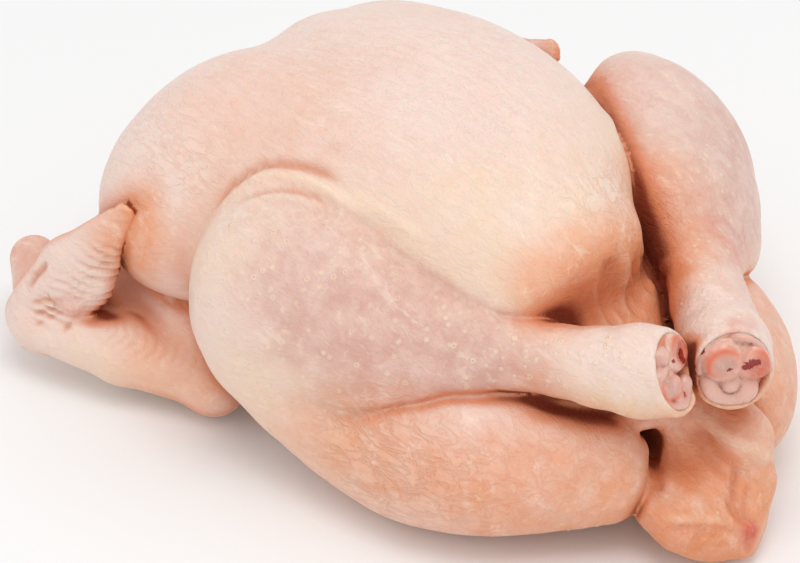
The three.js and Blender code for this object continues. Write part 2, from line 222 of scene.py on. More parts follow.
# %% The wings
class Wing:
    def __init__(self, side, shoulder, elbow, wrist, tip, thumb):
        self.side, self.shoulder, self.elbow = side, vec(*shoulder), vec(*elbow)
        self.wrist, self.tip, self.thumb = vec(*wrist), vec(*tip), vec(*thumb)
        self.along = unit(self.tip - self.wrist)
        flat = vec(-0.74 * side, -0.47, 0.3)
        self.face = unit(flat - (flat @ self.along) * self.along)
        self.back_edge = np.cross(self.along, self.face) * side

    def hand(self, P):
        w, t = self.wrist, self.tip
        return limb(P, [w, w + 0.45 * (t - w), t], [11.3, 11.5, 4.0], 3, self.face, 0.5)

    def arm(self, P):
        middle = (self.elbow + self.wrist) / 2 + vec(0, 0, 1)
        upper = limb(P, [self.shoulder, self.elbow], [18.5, 9.2], 3)
        return join(upper, limb(P, [self.elbow, middle, self.wrist], [7.6, 10.5, 7.8], 3), 3.5)

    def web(self, P):
        """the fold of skin between the two arms"""
        front = 0.3 * self.elbow + 0.35 * (self.shoulder + self.wrist)
        thin = np.cross(self.shoulder - self.elbow, self.wrist - self.elbow)
        return limb(P, [self.elbow, front], [7, 15], 3, thin, 0.36)

    def whole(self, P):
        hand = pressed(self.hand(P), limb(P, [self.wrist, self.thumb], [6.6, 7.6], 3), 2, 0.8)
        return join(join(self.arm(P), self.web(P), 3), hand, 1.5)


WINGS = (
    Wing(1, (-48, 84.5, 35.5), (-66, 36, 11.5), (-91, 89, 18.5), (-75.6, 61.4, 63.4), (-77, 109.5, 24)),
    Wing(-1, (52, 86, 34), (64, 36, 13), (91.5, 92, 26.5), (97, 67, 48.5), (80, 107, 27)),
)


# %% Tail, vent and the whole bird
def tail(P):
    d = limb(P, [(-0.5, -81.5, 21.5), (-0.5, -97, 15), (3.5, -103.5, 10.5), (1, -112, 7)], [24, 20, 11.2, 4.7],
             3, (0.1, -0.45, 0.85), 0.55)
    rim = limb(P, [(14, -84, 34), (12.5, -99, 30), (11.5, -104, 18.5), (3.5, -111, 11)], [10, 8, 6.5, 3.8], 3)
    return join(d, rim, 4)


def vent(P):
    d = limb(P, [(-10, -106, 39), (-9, -92, 33), (-10, -82, 30), (-4, -30, 36)], [7.5, 4.6, 4.2, 10], 3)
    return join(d, ellipsoid(P, (-5, -101, 36), (8.5, 12, 7.5)), 4)


def pressed(a, b, k, groove, width=2.0):
    """Two parts that lie on each other: a tight crease between them, sunk by a groove."""
    return join(a, b, k) + groove * np.exp(-(((a - b) / width) ** 2))


def body(P):
    """everything but the drumsticks; the vent is cut before the thighs close in on it"""
    d = join(trunk(P), tail(P), 6)
    d = keep_both(d, -vent(P), 4)
    rear = smooth(-60, -72, P[..., 1])
    for leg in LEGS:
        thigh = join(limb(P, leg.thigh[:, :3], leg.thigh[:, 3], 3), limb(P, leg.upper_edge, [9.5, 13.5], 3), 7)
        d = pressed(d, thigh, 8 - 4.5 * rear, 1.5 * rear)
    for wing in WINGS:
        d = pressed(d, wing.whole(P), 1.5, 0.9)
    return d


def bird(P):
    d = body(P)
    knee = np.clip((P[..., 1] + 12) / 40, 0, 1)
    low = smooth(62, 50, P[..., 2]) * (1 - knee)  # where a drumstick lies on its thigh
    hocks = smooth(-80, -90, P[..., 1]) * smooth(44, 52, P[..., 2])
    for leg in LEGS:
        groove = (0.35 + 0.2 * low) * (1 - knee) * (1 - hocks) + 2.4 * hocks
        d = pressed(d, leg.drumstick(P), 3.4 + 8.6 * knee - 1.4 * np.maximum(low, hocks), groove, 1.7)
    return keep_both(d, GROUND - P[..., 2], 0.8)


# %% [markdown]
# ## From distances to a mesh
# Surface nets puts one vertex in every grid cell that the surface crosses and one face round
# every grid edge that it cuts. Most of the grid is far from the skin, so we first look at
# blocks of cells and only work out the ones near it. Afterwards each vertex slides along the
# slope of the distance until it lies on the surface.

# %% Surface nets near the skin only
BATCH = 200000  # points worked out at once, which keeps the memory small


def net(field, low, high, cell, block=4):
    low = np.asarray(low, float)
    count = np.ceil((np.asarray(high, float) - low) / (cell * block)).astype(int)
    mid = np.stack(np.meshgrid(*[np.arange(c) for c in count], indexing="ij"), -1)
    rough = field(low + (mid.reshape(-1, 3) + 0.5) * cell * block).reshape(count)
    fine = np.repeat(np.repeat(np.repeat(rough, block, 0), block, 1), block, 2)
    value = np.sign(fine).astype(np.float32)
    near = np.argwhere(np.abs(fine) < cell * block * 1.5)
    for part in np.array_split(near, max(1, len(near) // BATCH)):
        value[tuple(part.T)] = field(low + part * cell)
    inside, most = value < 0, np.array(value.shape) - 1
    corners, one = np.indices((2, 2, 2)).reshape(3, 8).T, np.eye(3, dtype=int)
    full = sum(inside[tuple(slice(k, k + n) for k, n in zip(c, most))].astype(np.int8) for c in corners)
    used = (full > 0) & (full < 8)
    number = -np.ones(most, int)
    cells = np.argwhere(used)
    number[used] = np.arange(len(cells))
    total, hits = np.zeros((len(cells), 3)), np.zeros(len(cells))
    for a in range(3):
        for c in corners[corners[:, a] == 0]:
            v1, v2 = (value[tuple((cells + c + end * one[a]).T)] for end in (0, 1))
            cut = (v1 < 0) != (v2 < 0)
            spot = np.tile(c.astype(float), (len(cells), 1))
            spot[:, a] = np.where(cut, v1 / np.where(cut, v1 - v2, 1), 0)
            total[cut] += spot[cut]
            hits[cut] += 1
    faces = []
    for a in range(3):
        b, c = (a + 1) % 3, (a + 2) % 3
        edge = np.argwhere(np.diff(inside, axis=a))
        edge = edge[((edge > 0) & (edge < most))[:, [b, c]].all(1)]
        around = np.zeros((4, 3), int)
        around[:, b], around[:, c] = (-1, 0, 0, -1), (-1, -1, 0, 0)
        ring = np.stack([number[tuple((edge + step).T)] for step in around], 1)
        turn = ~inside[tuple(edge.T)]
        ring[turn] = ring[turn][:, ::-1]
        faces.append(ring)
    return low + (cells + total / hits[:, None]) * cell, np.vstack(faces)


def slope(field, P, h=0.3):
    return np.stack([field(P + h * e) - field(P - h * e) for e in np.eye(3)], -1) / (2 * h)


def settle(field, P, cap, times=2):
    for _ in range(times):
        g = slope(field, P)
        step = -(field(P) / np.maximum((g * g).sum(-1), 1e-3))[:, None] * g
        length = np.linalg.norm(step, axis=1)
        P = P + step * np.minimum(1, cap / np.maximum(length, 1e-9))[:, None]
    return P


# %% [markdown]
# ## Finer where it matters
# The breast is smooth, and a coarse net carries it. The wing tips, the cut hocks, the vent
# and the tail have wrinkles a few millimetres wide. Bmesh can subdivide chosen edges and
# closes the border between coarse and fine by itself, so the net is split there once or
# twice and settled on the surface again.

# %% Make the skin's net and refine it
CELL = 2.15  # mm
GRID = (-118, -130, -4), (122, 126, 112)  # low and high corner, in mm


def near_path(P, points, reach):
    return limb(P, points, [reach] * len(points), 1) < 0


def needs_detail(P):
    here = np.zeros(len(P), bool)
    for wing in WINGS:
        here |= near_path(P, [wing.elbow, wing.wrist, wing.thumb], 15)
    here |= P[:, 1] < -76
    for leg in LEGS:
        here |= near_path(P, [leg.knee + vec(10 * leg.side, 8, 27), leg.knee + vec(22 * leg.side, -30, 27)], 13)
        here |= (np.abs(leg.drumstick(P) - body(P)) < 5) & (P[:, 1] < 12)
    return here


def needs_most_detail(P):
    here = np.zeros(len(P), bool)
    for wing in WINGS:
        here |= (wing.hand(P) < 1.2) & ((P - wing.wrist) @ wing.along > 2)
    for leg in LEGS:
        here |= near_path(P, [leg.hock - 4 * leg.along, leg.hock + 3 * leg.along], 15)
        here |= (np.abs(leg.drumstick(P) - body(P)) < 2) & (P[:, 1] < 0) & (P[:, 2] < np.where(P[:, 1] < -40, 80, 56))
    return here


def refine(points, faces, chosen):
    """Split the edges whose two ends are chosen. faces is a list of index lists."""
    mesh = bpy.data.meshes.new("net")
    mesh.from_pydata(points.tolist(), [], faces)
    bm = bmesh.new()
    bm.from_mesh(mesh)
    bm.verts.ensure_lookup_table()
    keep = chosen(points)
    edges = [e for e in bm.edges if keep[e.verts[0].index] and keep[e.verts[1].index]]
    bmesh.ops.subdivide_edges(bm, edges=edges, cuts=1, use_grid_fill=True)
    bm.verts.index_update()
    out = np.array([v.co for v in bm.verts])
    rings = [[v.index for v in f.verts] for f in bm.faces]
    bm.free()
    bpy.data.meshes.remove(mesh)
    return out, rings


points, faces = net(bird, *GRID, CELL)
points = settle(bird, points, CELL * 0.6)
faces = faces.tolist()
for chosen in (needs_detail, needs_most_detail):
    points, faces = refine(points, faces, chosen)
    points = settle(bird, points, CELL * 0.3, 1)
normals = slope(bird, points)
normals /= np.linalg.norm(normals, axis=1)[:, None]
print("skin net", len(points), "points", sum(len(f) - 2 for f in faces), "triangles")

# %% [markdown]
# ## Folds and wrinkles
# Real skin gathers where a joint bends: at the knee, over the wing's hand, round the wrist
# and on the tail. A wrinkle is a bump or a groove that follows a path. Each one moves the
# skin along its normal by an amount that falls off with the distance from the path, so the
# wrinkles can cross and fade without any new topology.

# %% Paths that raise or sink the skin
def wander(P, size, seed=0.0):
    """Soft noise between about -1 and 1, with lumps of the given size in mm."""
    q = P / size + seed
    return np.array([noise.noise(Vector(p)) for p in q]) * 1.6


TAPER = 0.25  # share of a path over which a fold fades at each end


def path_bump(P, path, width, height):
    """A rounded ridge, or a groove if height is negative"""
    path = curve(path, 3)
    near = np.linalg.norm(P - path.mean(0), axis=1) < np.ptp(path, axis=0).max() + 4 * width
    out = np.zeros(len(P))
    Q = P[near]
    best, where = np.full(len(Q), 1e9), np.zeros(len(Q))
    steps = len(path) - 1
    for i, (a, b) in enumerate(zip(path[:-1], path[1:])):
        t = np.clip(((Q - a) @ (b - a)) / ((b - a) @ (b - a)), 0, 1)
        e = np.linalg.norm(Q - a - t[:, None] * (b - a), axis=1)
        closer = e < best
        best, where = np.where(closer, e, best), np.where(closer, (i + t) / steps, where)
    fade = smooth(0, TAPER, where) * smooth(0, TAPER, 1 - where)
    out[near] = height * np.exp(-((best / width) ** 2)) * fade
    return out


# (path, half width, height) in mm
KNEE_FOLDS = [
    ([(-67, 33.5, 70.5), (-60, 32, 76.5), (-53, 26.5, 83), (-48, 11, 86), (-46, -1, 84), (-42.5, -11.5, 83.5)],
     1.7, 1.3),
    ([(-65, 37.5, 69.5), (-58, 36.5, 76), (-50.5, 30.5, 83.5), (-45.5, 14.5, 88), (-43.5, 1.5, 87.5)], 1.5, -1.2),
    ([(-64.5, 30, 75), (-58, 21.5, 82), (-52, 11.5, 84.5), (-48, 1, 83.5)], 1.3, -0.6),
    ([(-64, 24, 79), (-56.5, 15.5, 83.5), (-51.5, 5, 83.5)], 1.4, 0.4),
    ([(-44, 3.5, 87), (-41, -15.5, 83.5), (-39, -28, 81)], 1.8, 0.6),
    ([(54.5, 2.5, 83), (48, -7, 82), (30.5, -27, 89.5), (22.5, -38.5, 87.5)], 2.0, 0.7),
    ([(56, 3.5, 83.5), (52, -1, 83), (44, -15.5, 82)], 1.6, -0.6),
]
BELLY_FOLDS = [
    ([(-6, -63, 81.5), (-4.5, -62, 70), (-3.5, -63, 58)], 2.4, -2.4),
    ([(0, -62.5, 80), (3, -61, 68), (0, -65, 57)], 1.4, 1.5),
    ([(5.5, -61, 76.5), (10, -58.5, 61), (2, -66.5, 57)], 1.3, -1.0),
    ([(25, -48, 60.5), (19, -55.5, 58), (10.5, -65.5, 56)], 1.6, 0.8),
    ([(25, -48.5, 61), (20.5, -57, 58.5), (12, -70.5, 57)], 1.4, -0.9),
    ([(-22, -70, 46), (-20, -80.5, 42.5), (-20, -85.5, 38)], 1.6, -0.7),
    ([(-19.5, -81, 42), (-30, -83, 36.5), (-39, -84, 28.5)], 1.3, -0.5),
    ([(6, -92, 37), (8.5, -102.5, 35.5), (9, -105.5, 33.5)], 1.6, -0.9),
]
TAIL_FOLDS = [
    ([(-20.5, -98.5, 19.5), (-16.5, -104.5, 19.5), (-8.5, -109.5, 18.5), (-2.5, -113.5, 14.5)], 1.3, 0.5),
    ([(-20.5, -101.5, 17.5), (-15.5, -107.5, 18.5), (-7.5, -111.5, 16.5), (-1, -115, 12.5)], 1.2, -0.7),
    ([(-19.5, -103.5, 11.5), (-13, -110, 16), (-6, -114, 13.5)], 1.1, -0.6),
    ([(-18, -107, 12), (-11.5, -112.5, 13), (-5.5, -114.5, 11.5)], 1.0, -0.5),
    ([(0.5, -115, 13.5), (0, -109.5, 19.5), (4.5, -104.5, 23), (7, -103, 29.5)], 1.2, -1.2),
    ([(0.5, -115, 13.5), (-2, -108.5, 20), (0, -101.5, 21.5)], 1.1, -0.9),
    ([(0.5, -115, 13.5), (3, -110.5, 19), (7, -108, 23.5)], 1.1, -0.7),
    ([(-15, -101, 23), (-8.5, -103, 21.5), (-3.5, -106, 20.5), (-1.5, -109.5, 19.5)], 1.8, 0.8),
    ([(3, -88.3, 36.8), (5.6, -92, 35.2), (7, -99, 34), (8.4, -105, 32.7), (10.9, -107.8, 29.6),
      (14.6, -108.5, 24.6)], 2.2, 1.8),
    ([(2.7, -88.8, 33.8), (5.5, -92.4, 31.4), (6.7, -99, 29.8), (8, -106, 28)], 2.4, -1.5),
    ([(-4.6, -77.4, 28.3), (-7.5, -81.9, 27.7), (-9.8, -86.9, 27.3), (-12.2, -90.6, 26.5), (-15.5, -95, 25.9),
      (-19.2, -96.5, 23.9)], 1.8, -2.0),
    ([(-8, -96, 24), (-4, -100, 23), (-1.8, -107.1, 20.4), (-0.8, -112.6, 16.2)], 1.4, -0.6),
]
WRIST_FOLDS = [
    ([(-94.5, 86.5, 28), (-92.5, 80.5, 31), (-90, 74.5, 32.5)], 0.9, -0.8),
    ([(-96.5, 85.5, 24), (-93, 80.5, 27.5), (-90, 75, 30.5)], 0.9, -0.8),
    ([(-96.5, 83.5, 22), (-93, 79.5, 25.5), (-89.5, 74.5, 29)], 0.8, -0.6),
    ([(-92.5, 74.5, 22), (-89.5, 73.5, 25.5), (-86.5, 70.5, 29)], 0.9, -0.7),
    ([(-90.5, 76, 31.5), (-89, 73, 31), (-86.5, 70, 31)], 2.0, 0.9),
    ([(-90.5, 82.5, 43.5), (-91.5, 83, 40.5), (-92.5, 86, 36.5), (-94.5, 88, 30.5)], 1.1, -1.2),
]


def mirrored(folds, dx, dy, dz):
    """The same folds on the other side, moved by so much"""
    return [([(dx - x, y + dy, z + dz) for x, y, z in path], width, height) for path, width, height in folds]


ALL_FOLDS = KNEE_FOLDS + BELLY_FOLDS + TAIL_FOLDS + WRIST_FOLDS + mirrored(WRIST_FOLDS, 0.5, 3, 8)
rise = 0.55 * wander(points, 34) + 0.22 * wander(points, 13, 7.0)
breast = smooth(70, 82, points[:, 2]) * smooth(-62, -50, points[:, 1])
rise *= 1 - 0.55 * breast
relief = np.zeros(len(points))
for path, width, height in ALL_FOLDS:
    relief += path_bump(points, path, width, height)

# %% [markdown]
# ## Gathered skin on the wing
# On the hand of the wing about ten wrinkles run side by side to the trailing edge, and the
# edge of the forearm's skin is crimped, like folds on the knee, tail and belly. These repeat
# at an even pitch, so a wave along a line describes them all: its height is the wrinkle, and
# a mask says where it fades out.

# %% Waves of wrinkles
def crimp(P, start, end, pitch, height, reach, lean=0.0, seed=0.0):
    """Even wrinkles across the line from start to end, out to `reach` from it."""
    start, end = vec(*start), vec(*end)
    along = unit(end - start)
    s = (P - start) @ along
    off = np.linalg.norm(P - start - s[:, None] * along, axis=1)
    mask = smooth(0, 5, s) * smooth(0, 5, np.linalg.norm(end - start) - s) * (1 - smooth(0.5 * reach, reach, off))
    out = np.zeros(len(P))
    here = mask > 0.01
    if here.any():
        uneven = wander(P[here], 6, seed) * 0.9
        out[here] = height * mask[here] * np.sin(2 * pi * (s[here] + lean * off[here]) / pitch + uneven)
    return out


# start, end, pitch, height, reach, lean and seed of the crimps on the knee, tail and belly, in mm
CRIMPS = [
    ((-72, 26, 77), (-46, -6, 86), 3.2, 0.16, 8, 0.9, 5.0),
    ((-20, -103, 17), (2, -112, 15), 2.6, 0.14, 10, 1.3, 9.0),
    ((-14, -62, 62), (24, -50, 62), 5.2, 0.8, 12, 0.3, 11.0),
]
HAND_PITCH, HAND_LEAN, HAND_HEIGHT = 3.1, 0.45, 0.4  # of the wrinkles on the wing's hand, in mm
wrinkled = np.zeros(len(points))
for wing in WINGS:
    q = points - wing.wrist
    s, c = q @ wing.along, q @ wing.back_edge
    on_hand = smooth(2, 8, s) * smooth(-8, 5, c) * smooth(0.5, 3, trunk(points))
    on_hand *= 1 - smooth(0.5, 3, wing.hand(points))
    here = on_hand > 0.01
    uneven = wander(points[here], 8, 3.0) * 2.2
    wave = np.sin(2 * pi * (s[here] - HAND_LEAN * c[here]) / HAND_PITCH + uneven)
    relief[here] += HAND_HEIGHT * on_hand[here] * wave * (1 + 0.8 * wander(points[here], 6, 6.0))
    wrinkled = np.maximum(wrinkled, on_hand)
    edge = [wing.wrist + vec(6 * wing.side, -24, 7), wing.elbow + vec(-5 * wing.side, -2, 12)]
    relief += crimp(points, *edge, 3.3, 0.2, 6, 0.7)
for row in CRIMPS:
    relief += crimp(points, *row)
rise += relief

# %% [markdown]
# ## The cut hocks
# The feet are cut off at the hock. The skin draws back there and leaves a thin rolled rim
# round the bared joint. The flat end of the shank is pushed in between the rim's inner side
# and the middle, which leaves the rim standing.

# %% Sink the ends of the shanks
RIM_HEIGHT, SINK = 0.7, 6.5  # mm that the rim stands out and the middle goes in
hock_end = np.zeros(len(points))
for leg in LEGS:
    near = near_path(points, [leg.hock - 8 * leg.along, leg.hock + 6 * leg.along], 18)
    near &= np.abs(leg.drumstick(points)) < 0.7
    P = points[near]
    wall = -leg.sides(P)  # how deep inside the shank's side
    on_end = smooth(-2.2, -0.6, leg.end(P))
    uneven = wander(P, 5, 2.0) * 0.35
    rim = RIM_HEIGHT * np.exp(-(((wall - 0.9) / 0.9) ** 2)) * (1 + uneven)
    points[near] += (on_end * (rim - SINK * smooth(1.5, 2.9, wall + uneven)))[:, None] * leg.along
    rise[near] *= 1 - on_end * smooth(0.5, 1.5, wall)
    hock_end[near] = np.maximum(hock_end[near], on_end * smooth(1.2, 2.2, wall))
dressed = points + rise[:, None] * normals
dressed[:, 2] = np.maximum(dressed[:, 2], GROUND)
print("rise from", rise.min().round(2), "to", rise.max().round(2), "mm")

# %% [markdown]
# ## Where the skin changes colour
# Chicken skin is thin, so its colour is what lies under it: cream over fat, mauve over the
# muscle of the drumstick. The orange and brown of light bouncing about in a fold, and the shade
# there and on the undersides, are painted in. We work this out once per vertex and store it as
# named attributes, which the materials read later.

# %% Masks over places on the bird
REACHES = (2.5, 6, 12, 24)  # mm to look outwards for other skin


def crease_shade_amount(P, N):
    """0 on open skin, towards 1 down in a fold, from how soon other skin is met. It is painted in as shade."""
    return sum(np.clip(1 - bird(P + N * reach) / reach, 0, 1.3) for reach in REACHES) / len(REACHES)


def patch(P, at, half):
    """1 in the middle of a patch, 0 outside it, with a soft edge"""
    return smooth(1.6, 0.4, np.linalg.norm((P - vec(*at)) / vec(*half), axis=-1))


def union(*masks):
    out = 1.0
    for m in masks:
        out = out * (1 - np.clip(m, 0, 1))
    return 1 - out


def patches(P, *rows):
    """Patches laid over each other, each with its strength, middle and half size in mm."""
    return union(*[level * patch(P, at, half) for level, at, half in rows])


def on_both(level, at, half):
    """The same patch on the right and on the left"""
    return (level, at, half), (level, (-at[0], *at[1:]), half)


# %% Painted crease shade, fat, flesh, and orange tone with painted underside shade
def tones(P, N):
    z, lumps, fine = P[:, 2], wander(P, 18, 4.0), wander(P, 6, 8.0)
    uneven_z = z + 4 * lumps
    # painted shade in folds and crevices, made deeper in the vent's opening
    crease_shade = crease_shade_amount(P, N) + 0.3 * patch(P, (-7, -99, 30), (5, 7, 9))
    on_leg = [1 - smooth(0.5, 4, leg.sides(P)) for leg in LEGS]
    share = [np.clip((P - leg.knee) @ leg.along / np.linalg.norm(leg.hock - leg.knee), -0.3, 1.1) for leg in LEGS]
    by_leg = list(zip(on_leg, share, [leg.local(P) for leg in LEGS]))

    # Mauve over the drumstick's muscle and the thumbs is the skin's own colour. Its extra weight low on the
    # drumsticks, the grey on the lower side of the near drumstick and the mauve in the upper arm's fold are painted
    # shade.
    muscle = union(*[on * smooth(-0.1, 0.12, s) * (1 - smooth(0.55, 0.75, s)) for on, s, _ in by_leg])
    muscle *= smooth(46, 62, z + 6 * lumps) * (0.6 + 0.4 * smooth(84, 70, z))
    grey = on_leg[0] * smooth(0.05, 0.3, share[0]) * (1 - smooth(0.68, 0.8, share[0])) * smooth(72, 56, z + 5 * lumps)
    arms = patches(P, *[(1, (wing.shoulder + wing.elbow) / 2, (15, 34, 16)) for wing in WINGS])
    thumbs = patches(P, *[(0.4, wing.thumb + vec(-3 * wing.side, -6, 4), (13, 14, 12)) for wing in WINGS])
    flesh = union(0.7 * muscle, 0.7 * grey, thumbs, 0.85 * arms * smooth(0.1, 0.4, crease_shade))
    crease_shade *= 1 - 0.25 * arms

    shank = union(*[on * smooth(0.62, 0.85, s) * smooth(6, -8, at[1] + 3 * fine) for on, s, at in by_leg])
    fat = union(0.75 * shank, patches(
        P, (0.5, (-30, -42, 82), (34, 30, 22)), (0.4, (22, -42, 82), (26, 30, 22)),
        (0.35, (-48, -10, 84), (10, 30, 8)), (0.35, (0, 92, 40), (40, 24, 30)),
        *on_both(0.4, (-76, -8, 32), (16, 34, 24)),
        *[(0.35, leg.knee + vec(-6 * leg.side, 14, 20), (20, 22, 16)) for leg in LEGS],
        *[(0.5, (wing.elbow + wing.wrist) / 2 - vec(0, 0, 2), (15, 34, 13)) for wing in WINGS]))
    fat = np.clip(fat * (1 + 0.35 * lumps), 0, 1)

    # Painted shade and bounce light: orange under the breast, on the belly, low on the legs, at the shoulders and
    # elbows. The tail and wing tips are orange in their own right.
    under = smooth(-56, -70, P[:, 1]) * smooth(66, 50, uneven_z)
    low_leg_shade = smooth(46, 24, uneven_z) * smooth(20, -20, P[:, 1])
    warm_tone_and_shade = union(0.5 * under, 0.42 * low_leg_shade, patches(
        P, (0.6, (0, -106, 14), (26, 22, 16)), (0.55, (-3, -92, 27), (11, 10, 7)),
        (0.95, (2, -62, 64), (30, 13, 22)), (0.5, (22, -44, 76), (22, 16, 14)),
        (0.6, (-16, -60, 80), (26, 12, 9)), (0.25, (-38, 40, 92), (30, 34, 14)),
        *on_both(0.6, (-76, 58, 56), (14, 13, 13)), *on_both(0.5, (-68, -45, 36), (20, 28, 14)),
        *[(0.6, wing.tip + vec(0, -3, -4), (9, 7, 22)) for wing in WINGS],
        *[(0.5, wing.elbow + vec(-8 * wing.side, 4, 8), (18, 20, 18)) for wing in WINGS],
        *[(0.35, wing.thumb, (11, 11, 9)) for wing in WINGS]))
    warm_tone_and_shade = np.clip(warm_tone_and_shade * (1 + 0.12 * fine), 0, 1)

    flush = union(*[0.22 * on * smooth(0.45, 0.6, s) * (1 - smooth(0.8, 0.95, s)) * smooth(-4, 6, at[0] + 4 * lumps)
                    for on, s, at in by_leg])
    over_hock = LEFT.hock + 11 * LEFT.up + 3 * LEFT.across - 4 * LEFT.along
    sore = union(flush, patches(
        P, (0.8, (0.5, -115, 12), (3.2, 3, 4.5)), (0.4, (-89, 73, 31), (4, 4, 4)), (0.3, (-16, -60, 66), (12, 8, 10)),
        (0.3, over_hock, (7, 4, 3)), *[(0.22, wing.thumb, (10, 10, 8)) for wing in WINGS]))
    crepe = union(0.5 * under, patches(
        P, (1, (-70, -44, 30), (22, 26, 22)), (1, (70, -40, 34), (22, 26, 22)),
        (0.8, (12, -50, 80), (26, 14, 18)), (0.6, (-52, 60, 72), (18, 24, 14))))
    down = sum(smooth(0.3, 0.55, s) * on for on, s, _ in by_leg)
    neck_end = patch(P, (0, 80, 50), (80, 34, 40))
    tract = union(down, *[0.75 * on for on in on_leg], 0.7 * smooth(36, 14, z), 0.6 * neck_end)
    return {"crease_shade": crease_shade, "flesh": flesh, "fat": fat, "warm_tone_and_shade": warm_tone_and_shade, "sore": sore, "crepe": crepe, "tract": tract}


# %% Work them out, with the cut, the creases and where bumps may grow
# The groove mask paints shade into the wrinkles' grooves, and the ridge mask paints highlight on their crests.
FULL_CREASE = 0.8  # mm of relief that takes the whole colour of a groove or a ridge
skin_tones = tones(points, normals)
skin_tones["cut"] = hock_end
skin_tones["groove"] = np.clip(-relief / FULL_CREASE, 0, 1)
skin_tones["ridge"] = np.clip(relief / FULL_CREASE, 0, 1)
open_skin = 1 - np.clip(hock_end + 1.6 * skin_tones["crease_shade"] + wrinkled
                        + 0.6 * skin_tones["warm_tone_and_shade"] + skin_tones["sore"], 0, 1)
skin_tones["tract"] *= open_skin
shanks = union(*[(1 - smooth(0.5, 4, leg.sides(points))) * smooth(-58, -42, outwards) * smooth(-3, -8, outwards)
                 for leg, outwards in ((leg, leg.local(points)[2]) for leg in LEGS)])
back = smooth(30, 12, points[:, 2]) * (np.abs(points[:, 0]) < 45)
skin_tones["goose"] = open_skin * union(0.8 * shanks, 0.6 * back, 0.5 * patch(points, (0, 92, 34), (50, 26, 24)))
for name, value in skin_tones.items():
    print(f"{name:8s} mean {value.mean():.2f} most {value.max():.2f}")

# %% Turn the arrays into a Blender piece
def make_piece(name, points, faces, values):
    mesh = bpy.data.meshes.new(name)
    mesh.from_pydata(((points + ORIGIN) * MM).tolist(), [], faces)
    for key, value in values.items():
        layer = mesh.attributes.new(key, "FLOAT", "POINT")
        layer.data.foreach_set("value", np.asarray(value, np.float32))
    mesh.polygons.foreach_set("use_smooth", [True] * len(mesh.polygons))
    piece = bpy.data.objects.new(name, mesh)
    bpy.context.scene.collection.objects.link(piece)
    return piece


skin = make_piece("chicken_skin", dressed, faces, skin_tones)
print("skin", tuple(round(s, 4) for s in skin.dimensions))

# %% [markdown]
# ## The bared joint ends
# Inside each rim sits the end of the leg bone: two rounded knuckles capped with pearly
# cartilage, a crescent pad of gristle below them and shreds of tendon at the edge. They are
# small, so they get their own fine net. The same distances that shape them also paint them.

# %% Shapes in the hock's own axes: across, up and outwards, in mm
def ball(x, y, w, r):
    return lambda q: np.linalg.norm(q - vec(x, y, w), axis=-1) - r


def egg(x, y, w, rx, ry, rw):
    return lambda q: ellipsoid(q, (x, y, w), (rx, ry, rw))


def cord_of(*points):
    """A round cord. Each point is its place and its radius."""
    path = curve(points)
    return lambda q: limb(q, path[:, :3], path[:, 3], 0.6)


def arc(x, y, w, r, start, end, thick):
    turn = [radians(a) for a in np.linspace(start, end, 7)]
    return cord_of(*[(x + r * cos(a), y + r * sin(a), w, thick) for a in turn])


LEFT_SHAPES = {
    "left_knuckle": egg(-2.8, 2.2, -0.2, 6.1, 6.2, 4.4),
    "right_knuckle": egg(5.8, 1.7, -0.4, 5.1, 5.6, 4.0),
    "pad": cord_of((-6.4, -4.4, -0.2, 2.2), (-5.9, -7.2, 0.2, 2.9), (-2.8, -9.4, 0, 2.3),
                   (1.2, -9.7, 0, 2.2), (4.0, -7.8, 0.2, 2.8), (4.8, -5.4, -0.2, 2.1)),
    "lump": egg(-0.6, -5.2, 0.3, 2.7, 2.3, 2.4),
    "ridge": cord_of((0.8, 8.9, -0.8, 1.2), (3, 9.8, -0.5, 1.7), (5.6, 9.0, -0.4, 1.7), (8.0, 6.9, -0.4, 1.5),
                     (9.6, 4.2, -1, 1.0)),
    "strand": cord_of((-9.2, -1.5, -1, 1.0), (-9.4, 3.2, -0.8, 1.6), (-8.4, 7.2, -1, 1.6), (-5.4, 10.3, -1.4, 1.6),
                      (-1.6, 11, -1.8, 1.0)),
    "flesh": egg(0, -0.5, -6.4, 14, 15, 7.2),
}
RIGHT_SHAPES = {
    "left_knuckle": cord_of((-4.2, -2.4, -8, 5.0), (-4.4, -2.4, -4, 5.2), (-4.4, -2.2, -2.2, 5.2)),
    "right_knuckle": cord_of((4.2, 3.0, -9, 5.8), (4.7, 3.2, -5, 6.0), (4.8, 3.2, -2.4, 6.0)),
    "pad": arc(1.8, -5.4, 0.4, 3.6, 140, 340, 2.2),
    "lump": ball(-3.2, 6.0, -1.4, 2.3),
    "ridge": cord_of((-8.2, 1.6, -2, 1.0), (-6.4, 2.2, -0.8, 1.3), (-3.4, 3.0, -0.4, 1.0)),
    "strand": cord_of((-8.0, -4.5, 0, 1.0), (-5.2, -8.2, 1.4, 1.4), (-1, -9.8, 2.4, 1.4), (3.4, -9.4, 2, 1.0)),
    "flesh": egg(0, 0, -7.4, 13, 14, 7.0),
}


# %% Put them together, with the knuckles' faces worn flat
RIM_GAP = 1.3  # mm between the joint and the outside of the shank, which leaves room for the rim


def joint_field(leg, shapes, face):
    def field(P):
        q = np.stack(leg.local(P), -1)
        d = pressed(shapes["left_knuckle"](q), shapes["right_knuckle"](q), 1.6, 0.35, 0.8)
        d = keep_both(d, q[..., 2] - face(q), 1.6)
        for name in ("pad", "lump", "ridge", "strand"):
            d = pressed(d, shapes[name](q), 1.4, 0.22, 0.6)
        d = join(d, shapes["flesh"](q), 1.2)
        return keep_both(d, leg.sides(P) + RIM_GAP, 1.0)
    return field


